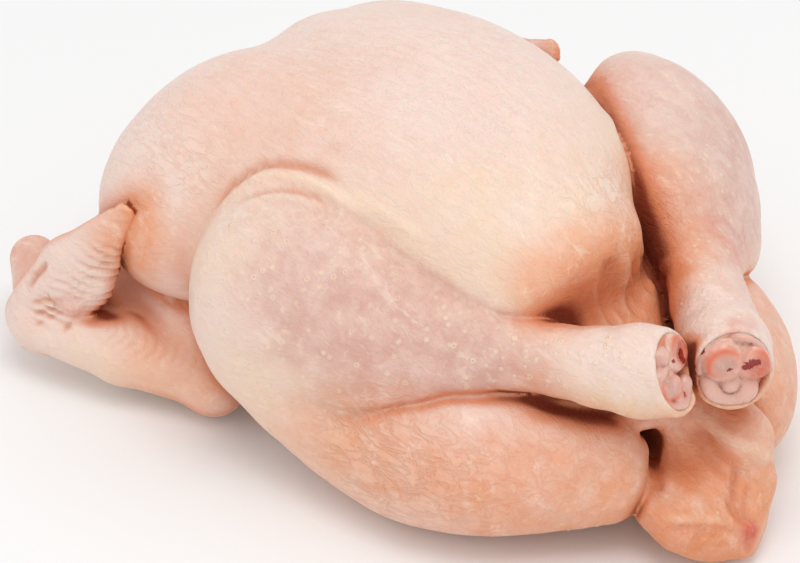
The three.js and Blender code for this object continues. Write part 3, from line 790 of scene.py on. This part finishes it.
def left_face(q):
    x, y = q[..., 0], q[..., 1]
    pit = np.exp(-(((x + 1.4) ** 2 + (y - 1.6) ** 2) / 4.0))
    cut = np.exp(-(((x - 4.2) / 2.6) ** 2 + ((y - 2.0 - 0.5 * (x - 4.2)) / 0.9) ** 2))
    return 3.3 - 1.0 * pit - 0.7 * cut


def right_face(q):
    x, y = q[..., 0], q[..., 1]
    pit = np.exp(-(((x - 5.2) ** 2 + (y - 2.0) ** 2) / 4.0))
    return 1.2 - 0.25 * y - 0.7 * pit - 0.8 * smooth(0, -3, x)


# %% Net, paint and place the two joints
JOINT_CELL = 0.5


def spot(q, x, y, a, b, power, lean=0.0):
    """1 in the middle of an oval spot, which may lean"""
    u, v = (q[:, 0] - x - lean * (q[:, 1] - y)) / a, (q[:, 1] - y) / b
    return np.exp(-((u**2 + v**2) ** power))


def joint_piece(name, leg, shapes, face, faces_at, marrow_at, blood_at):
    """faces_at: middle, half size and bright side of each face. marrow_at and blood_at: middle,
    half size, lean of the blood, and strength."""
    field = joint_field(leg, shapes, face)
    P, F = net(field, leg.hock - 15, leg.hock + 15, JOINT_CELL)
    P = settle(field, P, 0.25)
    q = np.stack(leg.local(P), -1)
    N = slope(field, P, 0.15)
    N /= np.linalg.norm(N, axis=1)[:, None]
    # how shut in each point is, painted in later as shade in the crevices
    crevice_shade = sum(np.clip(1 - field(P + N * r) / r, 0, 1) for r in (0.6, 1.4, 3.0)) / 3
    near = {key: 1 - smooth(0.0, 0.9, shape(q)) for key, shape in shapes.items()}
    outwards = N @ leg.along
    flat = smooth(0.5, 0.92, outwards)
    ring, grey = np.zeros(len(q)), np.zeros(len(q))
    for x, y, rx, ry, lit_x, lit_y in faces_at:
        u, v = (q[:, 0] - x) / rx, (q[:, 1] - y) / ry
        out = np.hypot(u, v)
        side = smooth(-0.7, 0.7, u * lit_x + v * lit_y)
        ring += np.exp(-(((out - 0.86) / 0.2) ** 2)) * (0.25 + 0.75 * side) * smooth(0.1, 0.7, outwards)
        grey += smooth(0.8, 0.55, out) * flat
    on_top = smooth(-2.5, 0.5, q[:, 2] + 1.5)
    blood = sum(level * spot(q, x, y, a, b, 1.5, lean) * on_top for x, y, a, b, lean, level in blood_at)
    marrow = sum(level * spot(q, x, y, a, b, 2) * flat for x, y, a, b, level in marrow_at)
    soft = union(0.9 * near["pad"], near["ridge"], near["strand"], near["lump"])
    raw = near["flesh"] - union(near["left_knuckle"], near["right_knuckle"], soft)
    values = {"crease_shade": crevice_shade, "marrow": marrow, "blood": blood, "ring": ring, "grey": grey,
              "gristle": soft, "raw": raw}
    values = {key: np.clip(value, 0, 1) for key, value in values.items()}
    P = P + (0.07 * wander(P, 1.3))[:, None] * N
    print(name, len(F), "faces", {k: round(float(v.mean()), 2) for k, v in values.items()})
    return make_piece(name, P, F.tolist(), values)


joint_left = joint_piece(
    "hock_left_bone", LEFT, LEFT_SHAPES, left_face,
    faces_at=[(-2.8, 2.2, 5.0, 5.2, -0.7, 0.7), (5.8, 1.7, 4.4, 4.8, 0.8, 0.2)],
    marrow_at=[(7.2, 0.2, 3.6, 5.0, 1.0)],
    blood_at=[(-1.4, 0.9, 0.9, 0.7, 0.6, 0.8), (5.0, 2.8, 2.4, 1.1, 0.5, 1.1), (3.2, 1.3, 1.6, 0.9, 0.3, 1.0),
              (-8.5, 5.8, 0.5, 1.7, 0.5, 1.0)])
joint_right = joint_piece(
    "hock_right_bone", RIGHT, RIGHT_SHAPES, right_face,
    faces_at=[(4.8, 3.2, 4.6, 5.0, 0.4, 0.8), (-4.4, -2.2, 4.0, 4.4, -0.5, -0.5)],
    marrow_at=[(6.4, 2.4, 3.6, 4.6, 1.0), (0.8, -7.0, 2.4, 1.6, 0.5)],
    blood_at=[(5.2, 1.8, 1.3, 2.2, 0.0, 1.3), (0.4, -7.2, 0.9, 1.0, 0.0, 0.8), (0.2, 3.0, 0.8, 0.8, 0.0, 0.9)])

# %% [markdown]
# ## Goose bumps
# Every feather leaves a follicle, a low pale bump some 2 mm wide. There are hundreds and they
# follow the skin, so Geometry Nodes scatters them: points at least one spacing apart, denser
# where the `goose` attribute is high, and on each a shallow bell of a few faces. The bell ends
# in a flat brim just under the skin, so no edge shows.

# %% A node helper
class Nodes:
    """Short names for adding and linking nodes in one tree."""

    def __init__(self, tree):
        self.tree = tree

    def add(self, kind, inputs=(), **settings):
        node = self.tree.nodes.new(kind)
        for key, value in settings.items():
            setattr(node, key, value)
        for key, value in dict(inputs).items():
            self.put(value, node.inputs[key])
        return node

    def one(self, kind, inputs=(), **settings):
        """A node of which only the first output is used"""
        return self.add(kind, inputs, **settings).outputs[0]

    def put(self, value, socket):
        if isinstance(value, bpy.types.NodeSocket):
            self.tree.links.new(value, socket)
        elif value is not None:
            socket.default_value = value

    def calc(self, operation, a, b=None, clamp=False):
        return self.one("ShaderNodeMath", {0: a, 1: b}, operation=operation, use_clamp=clamp)

    def times(self, a, b):
        return self.calc("MULTIPLY", a, b)

    def plus(self, a, b):
        return self.calc("ADD", a, b)


KINDS = {float: "Float", int: "Int", tuple: "Color"}


def open_group(helper, name, kind, inputs, outputs):
    """A new node group; returns its helper and its two ends. An input is given its first value
    or, like an output, the word for its kind."""
    tree = bpy.data.node_groups.new(name, kind)
    for way, sockets in (("INPUT", inputs), ("OUTPUT", outputs)):
        for label, value in sockets.items():
            word = isinstance(value, str)
            socket = "NodeSocket" + (value if word else KINDS[type(value)])
            made = tree.interface.new_socket(label, in_out=way, socket_type=socket)
            if not word:
                made.default_value = value
    n = helper(tree)
    return n, n.add("NodeGroupInput").outputs, n.add("NodeGroupOutput").inputs


# %% The tree that scatters the bumps
def bump_tree():
    n, given, result = open_group(
        Nodes, "feather_follicles", "GeometryNodeTree",
        {"Geometry": "Geometry", "Spacing": 0.005, "Radius": 0.0015, "Height": 0.0003, "Sink": 0.0001, "Seed": 7,
         "Skin": "Material"}, {"Geometry": "Geometry"})
    goose = n.add("GeometryNodeInputNamedAttribute", {"Name": "goose"}, data_type="FLOAT").outputs["Attribute"]
    spread = n.add("GeometryNodeDistributePointsOnFaces", {
        "Mesh": given["Geometry"], "Distance Min": given["Spacing"], "Density Max": 90000.0,
        "Density Factor": goose, "Seed": given["Seed"]}, distribute_method="POISSON").outputs
    bell = n.one("GeometryNodeMeshCone", {
        "Vertices": 9, "Side Segments": 4, "Radius Top": 0.0, "Radius Bottom": 1.0, "Depth": 1.0}, fill_type="NGON")
    where = n.add("ShaderNodeSeparateXYZ", {"Vector": n.one("GeometryNodeInputPosition")}).outputs
    flat = n.one("ShaderNodeCombineXYZ", {"X": where["X"], "Y": where["Y"]})
    out = n.add("ShaderNodeVectorMath", {0: flat}, operation="LENGTH").outputs["Value"]
    left = n.calc("SUBTRACT", 1.0, n.times(out, out), True)
    swell = n.times(left, left)
    height = n.calc("SUBTRACT", n.times(swell, given["Height"]), given["Sink"])
    wide = n.one("ShaderNodeVectorMath", {0: flat, "Scale": given["Radius"]}, operation="SCALE")
    up = n.one("ShaderNodeCombineXYZ", {"Z": height})
    place = n.one("ShaderNodeVectorMath", {0: wide, 1: up}, operation="ADD")
    made = n.one("GeometryNodeSetPosition", {"Geometry": bell, "Position": place})
    made = n.one("GeometryNodeStoreNamedAttribute", {"Geometry": made, "Name": "bead", "Value": swell},
                 data_type="FLOAT", domain="POINT")
    size = n.add("FunctionNodeRandomValue", {2: 0.7, 3: 1.15, "Seed": given["Seed"]}, data_type="FLOAT").outputs[1]
    made = n.one("GeometryNodeInstanceOnPoints", {
        "Points": spread["Points"], "Instance": made, "Rotation": spread["Rotation"], "Scale": size})
    for step, more in (("RealizeInstances", {}), ("SetShadeSmooth", {}),
                       ("SetMaterial", {"Material": given["Skin"]})):
        made = n.one("GeometryNode" + step, {"Geometry": made, **more})
    n.put(made, result["Geometry"])
    return n.tree


def socket_id(tree, name):
    return next(i.identifier for i in tree.interface.items_tree if i.name == name and i.in_out == "INPUT")


def grow(name, on, tree, **inputs):
    """Run the tree on a copy of a piece and keep the result as a plain mesh."""
    base = bpy.data.objects.new(name, on.data.copy())
    bpy.context.scene.collection.objects.link(base)
    growth = base.modifiers.new("growth", "NODES")
    growth.node_group = tree
    for key, value in inputs.items():
        growth[socket_id(tree, key)] = value
    mesh = bpy.data.meshes.new_from_object(base.evaluated_get(bpy.context.evaluated_depsgraph_get()))
    base.modifiers.remove(growth)
    base.data = mesh
    mesh.name = name
    print(name, len(mesh.polygons), "faces")
    return base


# %% [markdown]
# ## Skin tone, once for every piece
# The skin, its bumps and the cut rims must match wherever they meet. So the tone is a shader
# node group: it takes the stored masks and mixes cream, fat, flesh and orange, painted shade in
# the folds and on the undersides and painted highlight on wrinkle crests, with mottling at two
# sizes. A second group gives the grain of the skin as a height.

# %% Colours and a helper for shaders
def colour(r, g, b):
    """A colour as a screen shows it, 0 to 255, as the linear values a node takes."""
    line = lambda c: c / 12.92 if c <= 0.04045 else ((c + 0.055) / 1.055) ** 2.4
    return (*[line(c / 255) for c in (r, g, b)], 1.0)


class Shade(Nodes):
    def span(self, value, low, high, to_low=0.0, to_high=1.0):
        return self.one("ShaderNodeMapRange", {
            "Value": value, "From Min": low, "From Max": high, "To Min": to_low, "To Max": to_high},
            interpolation_type="SMOOTHSTEP")

    def mix(self, share, a, b):
        node = self.add("ShaderNodeMix", data_type="RGBA")
        for socket, value in zip((node.inputs[0], node.inputs[6], node.inputs[7]), (share, a, b)):
            self.put(value, socket)
        return node.outputs[2]

    def paint(self, tone, *layers):
        """Lay colours over a tone, each with its share."""
        for share, over in layers:
            tone = self.mix(share, tone, over)
        return tone

    def noise(self, scale, detail=2.0, rough=0.5, warp=0.0, stretch=None, seed=0.0):
        place = self.add("ShaderNodeTexCoord").outputs["Object"]
        if stretch or seed:
            place = self.one("ShaderNodeMapping", {
                "Vector": place, "Scale": stretch or (1, 1, 1), "Location": (seed, seed, 0)})
        return self.one("ShaderNodeTexNoise", {
            "Vector": place, "Scale": scale, "Detail": detail, "Roughness": rough, "Distortion": warp})

    def from_middle(self, value):
        """How far a noise is from its middle: 0 along thin winding lines"""
        return self.calc("ABSOLUTE", self.calc("SUBTRACT", value, 0.5))

    def mask(self, name):
        return self.add("ShaderNodeAttribute", attribute_name=name, attribute_type="GEOMETRY").outputs["Fac"]

    def bump(self, shader, height, strength, distance):
        normal = self.one("ShaderNodeBump", {"Strength": strength, "Distance": distance, "Height": height})
        self.put(normal, shader.inputs["Normal"])


# %% The skin tone group
MASKS = ("crease_shade", "flesh", "fat", "warm_tone_and_shade", "sore", "crepe", "groove", "ridge")
CREPE_LINES = dict(scale=260, detail=3, rough=0.65, warp=0.7, stretch=(1.0, 0.35, 1.0), seed=9.0)


def skin_tone_group():
    n, given, result = open_group(Shade, "skin_tone", "ShaderNodeTree", {
        **dict.fromkeys(MASKS, 0.0),
        "Cream": colour(242, 216, 204), "Fat": colour(243, 214, 182), "Flesh": colour(218, 172, 158),
        "Warm_And_Shade": colour(236, 160, 116), "Sore": colour(214, 104, 84), "Fold_Shade": colour(222, 134, 88),
        "Deep_Shade": colour(132, 48, 16)}, {"Color": "Color", "Roughness": "Float"})
    broad, speck = n.noise(38, 2, 0.55, 0.4), n.noise(520, 1, 0.6, seed=8.0)
    mottle = n.noise(150, 3, 0.6, 0.3, seed=3.0)
    streaks = n.noise(300, 3, 0.65, 0.8, stretch=(1.0, 0.3, 0.7), seed=4.0)
    lines = n.span(n.from_middle(n.noise(**CREPE_LINES)), 0.0, 0.06, 1.0, 0.0)
    even = n.span(mottle, 0.3, 0.7, -1.0, 1.0)
    vary = lambda mask, amount: n.calc("ADD", mask, n.times(n.times(even, amount), mask), True)
    tone = n.paint(
        given["Cream"],
        (n.span(broad, 0.35, 0.68, 0.0, 0.45), colour(240, 206, 190)),
        (n.span(mottle, 0.52, 0.74, 0.0, 0.28), colour(236, 192, 176)),
        (vary(given["fat"], 0.3), given["Fat"]),
        (vary(given["flesh"], 0.3), given["Flesh"]),
        # orange of the tail and wing tips, with painted shade and bounce light on the undersides and in recesses
        (vary(given["warm_tone_and_shade"], 0.16), given["Warm_And_Shade"]),
        (vary(given["sore"], 0.5), given["Sore"]),
        (n.span(streaks, 0.56, 0.72, 0.0, 0.34), colour(250, 232, 214)),
        (n.times(lines, n.times(given["crepe"], 0.34)), colour(226, 146, 106)),
        (n.span(speck, 0.6, 0.8, 0.0, 0.16), colour(247, 226, 205)),
        # painted highlight on wrinkle crests, then painted shade in their grooves
        (n.times(given["ridge"], 0.36), colour(250, 226, 200)),
        (n.times(given["groove"], 0.6), colour(216, 130, 88)),
        # painted shade: orange-brown in folds and crevices, dark brown deep down in them
        (n.span(given["crease_shade"], 0.16, 0.7, 0.0, 0.85), given["Fold_Shade"]),
        (n.span(given["crease_shade"], 0.6, 0.95, 0.0, 0.95), given["Deep_Shade"]))
    n.put(tone, result["Color"])
    n.put(n.span(n.noise(90, 2, 0.6, seed=5.0), 0.3, 0.7, 0.36, 0.52), result["Roughness"])
    return n.tree


# %% The skin grain group
def skin_grain_group():
    n, given, result = open_group(Shade, "skin_grain", "ShaderNodeTree",
                                  {"Pores": 0.5, "Creases": 0.5, "Crepe": 0.0}, {"Height": "Float"})
    furrow = lambda value, width: n.span(n.from_middle(value), 0.0, width, -1.0, 0.0)
    long_lines = n.noise(430, 3, 0.62, 0.9, stretch=(1.0, 0.3, 0.8), seed=2.0)
    creases = n.times(furrow(long_lines, 0.09), given["Creases"])
    crepe = n.times(furrow(n.noise(**CREPE_LINES), 0.07), n.times(given["Crepe"], 1.6))
    pebble = n.times(n.noise(620, 2, 0.6, 0.5), n.plus(given["Pores"], 0.8))
    soft = n.times(n.noise(210, 1, 0.5, 0.3, seed=6.0), 1.6)
    n.put(n.plus(n.plus(pebble, crepe), n.plus(creases, soft)), result["Height"])
    return n.tree


# %% The spots over feather follicles
def follicle_group():
    n, given, result = open_group(Shade, "follicle_spots", "ShaderNodeTree",
                                  {"Amount": 0.5}, {"Ring": "Float", "Pore": "Float"})
    place = n.add("ShaderNodeTexCoord").outputs["Object"]
    far = n.add("ShaderNodeTexVoronoi", {"Vector": place, "Scale": 255.0, "Randomness": 0.85}).outputs["Distance"]
    n.put(n.times(n.span(far, 0.14, 0.3, 1.0, 0.0), given["Amount"]), result["Ring"])
    n.put(n.times(n.span(far, 0.03, 0.09, 1.0, 0.0), given["Amount"]), result["Pore"])
    return n.tree


TONE, GRAIN, SPOTS = skin_tone_group(), skin_grain_group(), follicle_group()


# %% [markdown]
# ## Materials
# Raw skin is a thin moist film over fat, so light enters it and comes out a few millimetres
# away, redder. The Principled shader's subsurface does that; its radius is longest for red.
# The gloss is a soft one that changes a little from place to place and fades in the folds.

# %% Skin and follicle materials
def open_material(name):
    material = bpy.data.materials.new(name)
    material.use_nodes = True
    n = Shade(material.node_tree)
    material.node_tree.nodes.clear()
    shader = n.add("ShaderNodeBsdfPrincipled")
    n.put(shader.outputs[0], n.add("ShaderNodeOutputMaterial").inputs["Surface"])
    return material, n, shader


def set_plain(shader, **values):
    for name, value in values.items():
        shader.inputs[name.replace("_", " ")].default_value = value


def skin_material(name, bead=False):
    material, n, shader = open_material(name)
    tone = n.add("ShaderNodeGroup", node_tree=TONE)
    for mask in MASKS:
        n.put(n.mask(mask), tone.inputs[mask])
    grain = n.add("ShaderNodeGroup", node_tree=GRAIN)
    out, height = tone.outputs["Color"], grain.outputs["Height"]
    if bead:
        out = n.mix(n.times(n.mask("bead"), 0.3), out, colour(248, 224, 192))
        set_plain(grain, Pores=0.2, Creases=0.2)
    else:
        spots = n.add("ShaderNodeGroup", {"Amount": n.mask("tract")}, node_tree=SPOTS).outputs
        out = n.paint(
            out, (n.times(spots["Ring"], 0.5), colour(250, 228, 196)),
            (n.times(spots["Pore"], 0.6), colour(196, 140, 104)),
            (n.mask("cut"), n.mix(n.noise(300, 1), colour(200, 112, 78), colour(226, 156, 122))))
        height = n.plus(height, n.calc("SUBTRACT", n.times(spots["Ring"], 1.3), spots["Pore"]))
        n.put(n.span(n.mask("tract"), 0.0, 0.8, 0.35, 0.75), grain.inputs["Pores"])
        n.put(n.mask("crepe"), grain.inputs["Crepe"])
    n.put(out, shader.inputs["Base Color"])
    rougher = n.span(n.mask("crease_shade"), 0.3, 0.7, 0.0, 0.45)
    n.put(n.plus(tone.outputs["Roughness"], rougher), shader.inputs["Roughness"])
    n.put(n.span(n.mask("crease_shade"), 0.2, 0.6, 0.12, 0.0), shader.inputs["Coat Weight"])
    n.bump(shader, height, strength=0.6, distance=0.00036)
    set_plain(shader, Coat_Roughness=0.28, Specular_IOR_Level=0.4)
    if not bead:  # a bump is too thin for light to spread in
        set_plain(shader, Subsurface_Weight=0.35, Subsurface_Scale=0.0025, Subsurface_Radius=(1.0, 0.42, 0.25))
    return material


# %% Cartilage
def cartilage_material():
    material, n, shader = open_material("cartilage")
    cloud = n.noise(260, 2, 0.6, 0.5)
    ragged = n.plus(n.mask("blood"), n.span(n.noise(900, 2, 0.7), 0.3, 0.7, -0.3, 0.3))
    tone = n.paint(
        n.mix(n.span(cloud, 0.35, 0.65), colour(226, 172, 152), colour(234, 196, 180)),
        (n.mask("gristle"), n.mix(cloud, colour(232, 190, 174), colour(214, 166, 152))),
        (n.mask("raw"), colour(214, 132, 98)),
        (n.times(n.mask("grey"), 0.5), n.mix(cloud, colour(204, 150, 134), colour(186, 138, 128))),
        (n.times(n.mask("ring"), 0.9), colour(224, 112, 76)),
        (n.times(n.mask("marrow"), n.span(n.noise(700, 2), 0.25, 0.7, 0.5, 0.9)), colour(212, 100, 68)),
        # painted shade in the crevices between the knuckles, pads and cords
        (n.span(n.mask("crease_shade"), 0.4, 1.0, 0.0, 0.75), colour(160, 76, 50)),
        (n.span(ragged, 0.35, 0.65), colour(148, 22, 16)))
    n.put(tone, shader.inputs["Base Color"])
    n.put(n.span(cloud, 0.3, 0.7, 0.2, 0.36), shader.inputs["Roughness"])
    n.bump(shader, n.noise(1100, 2, 0.6), strength=0.35, distance=0.0002)
    set_plain(shader, Subsurface_Weight=0.4, Subsurface_Scale=0.002, Subsurface_Radius=(1.0, 0.4, 0.3),
              Coat_Weight=0.3, Coat_Roughness=0.15)
    return material


skin.data.materials.append(skin_material("raw_skin"))
cartilage = cartilage_material()
for piece in (joint_left, joint_right):
    piece.data.materials.append(cartilage)
follicles = grow("feather_follicles", skin, bump_tree(), Spacing=0.0036, Radius=0.0009, Height=0.0003, Sink=0.00008,
                 Seed=11, Skin=skin_material("follicle_skin", bead=True))

# %% [markdown]
# ## Put each piece on the frame
# The bird is one body, so everything rides on `root`. The skin and the bones stand for the
# CAD solids they cover, which are hidden but stay for the physics.

# %% Ride and replace
for piece, node, slot in ((skin, "skin", "skin"), (joint_right, "hock_joint_right", "cartilage"),
                          (joint_left, "hock_joint_left", "cartilage"), (follicles, None, "skin")):
    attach(piece, "root")
    if node:
        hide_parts(node)

# %% [markdown]
# ## Floor, light and camera
# A white floor and a bright even sky give the soft high-key light of a food shot. One large
# lamp above, a little towards the tail, gives the skin its gentle gradient and a faint wet shine.

# %% Floor
FLOOR_HALF, FLOOR_GAP = 4, 0.0004  # metres


def floor():
    mesh = bpy.data.meshes.new("floor")
    corners = [(x * FLOOR_HALF, y * FLOOR_HALF, -FLOOR_GAP) for x, y in ((-1, -1), (1, -1), (1, 1), (-1, 1))]
    mesh.from_pydata(corners, [], [(0, 1, 2, 3)])
    plane = bpy.data.objects.new("floor", mesh)
    bpy.context.scene.collection.objects.link(plane)
    material, _, shader = open_material("floor_white")
    set_plain(shader, Base_Color=(0.95, 0.95, 0.95, 1), Roughness=0.8)
    mesh.materials.append(material)
    return plane


floor()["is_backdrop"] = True

# %% Light
def lamp(name, at, aim, size, power):
    light = bpy.data.lights.new(name, "AREA")
    light.size, light.energy = size, power
    holder = bpy.data.objects.new(name, light)
    holder.location = at
    holder.rotation_euler = (Vector(aim) - Vector(at)).to_track_quat("-Z", "Y").to_euler()
    bpy.context.scene.collection.objects.link(holder)


world = bpy.data.worlds.new("sky")
bpy.context.scene.world = world
world.use_nodes = True
sky = world.node_tree.nodes.get("Background") or world.node_tree.nodes.new("ShaderNodeBackground")
sky.inputs["Color"].default_value = (1, 1, 1, 1)
sky.inputs["Strength"].default_value = 0.84
lamp("soft_top", at=(-0.15, -0.25, 0.85), aim=(0, 0, 0.04), size=0.45, power=1.95)
bpy.context.scene.view_settings.view_transform = "Standard"

# %% Camera
CAMERA_AT = Vector((-0.511448, -0.551768, 0.545636))
TURN, LIFT = radians(-41.26), radians(34.18)
camera = bpy.data.cameras.new("camera")
camera.sensor_width, camera.lens, camera.clip_start = 36, 139.73, 0.01
view_from = bpy.data.objects.new("camera", camera)
right = Vector((cos(TURN), sin(TURN), 0))
back = Vector((sin(TURN) * cos(LIFT), -cos(TURN) * cos(LIFT), sin(LIFT)))
axes = Matrix((right, back.cross(right), back)).transposed().to_4x4()
view_from.matrix_world = Matrix.Translation(CAMERA_AT) @ axes
bpy.context.scene.collection.objects.link(view_from)
bpy.context.scene.camera = view_from

# %% Compare the dressed bird with its frame, and finish
dressed_box = [list(corner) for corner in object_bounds()]
for corner, cad, made in zip(("low", "high"), CAD_BOX, dressed_box):
    print(corner, "cad", [round(1000 * c, 1) for c in cad], "dressed", [round(1000 * c, 1) for c in made])
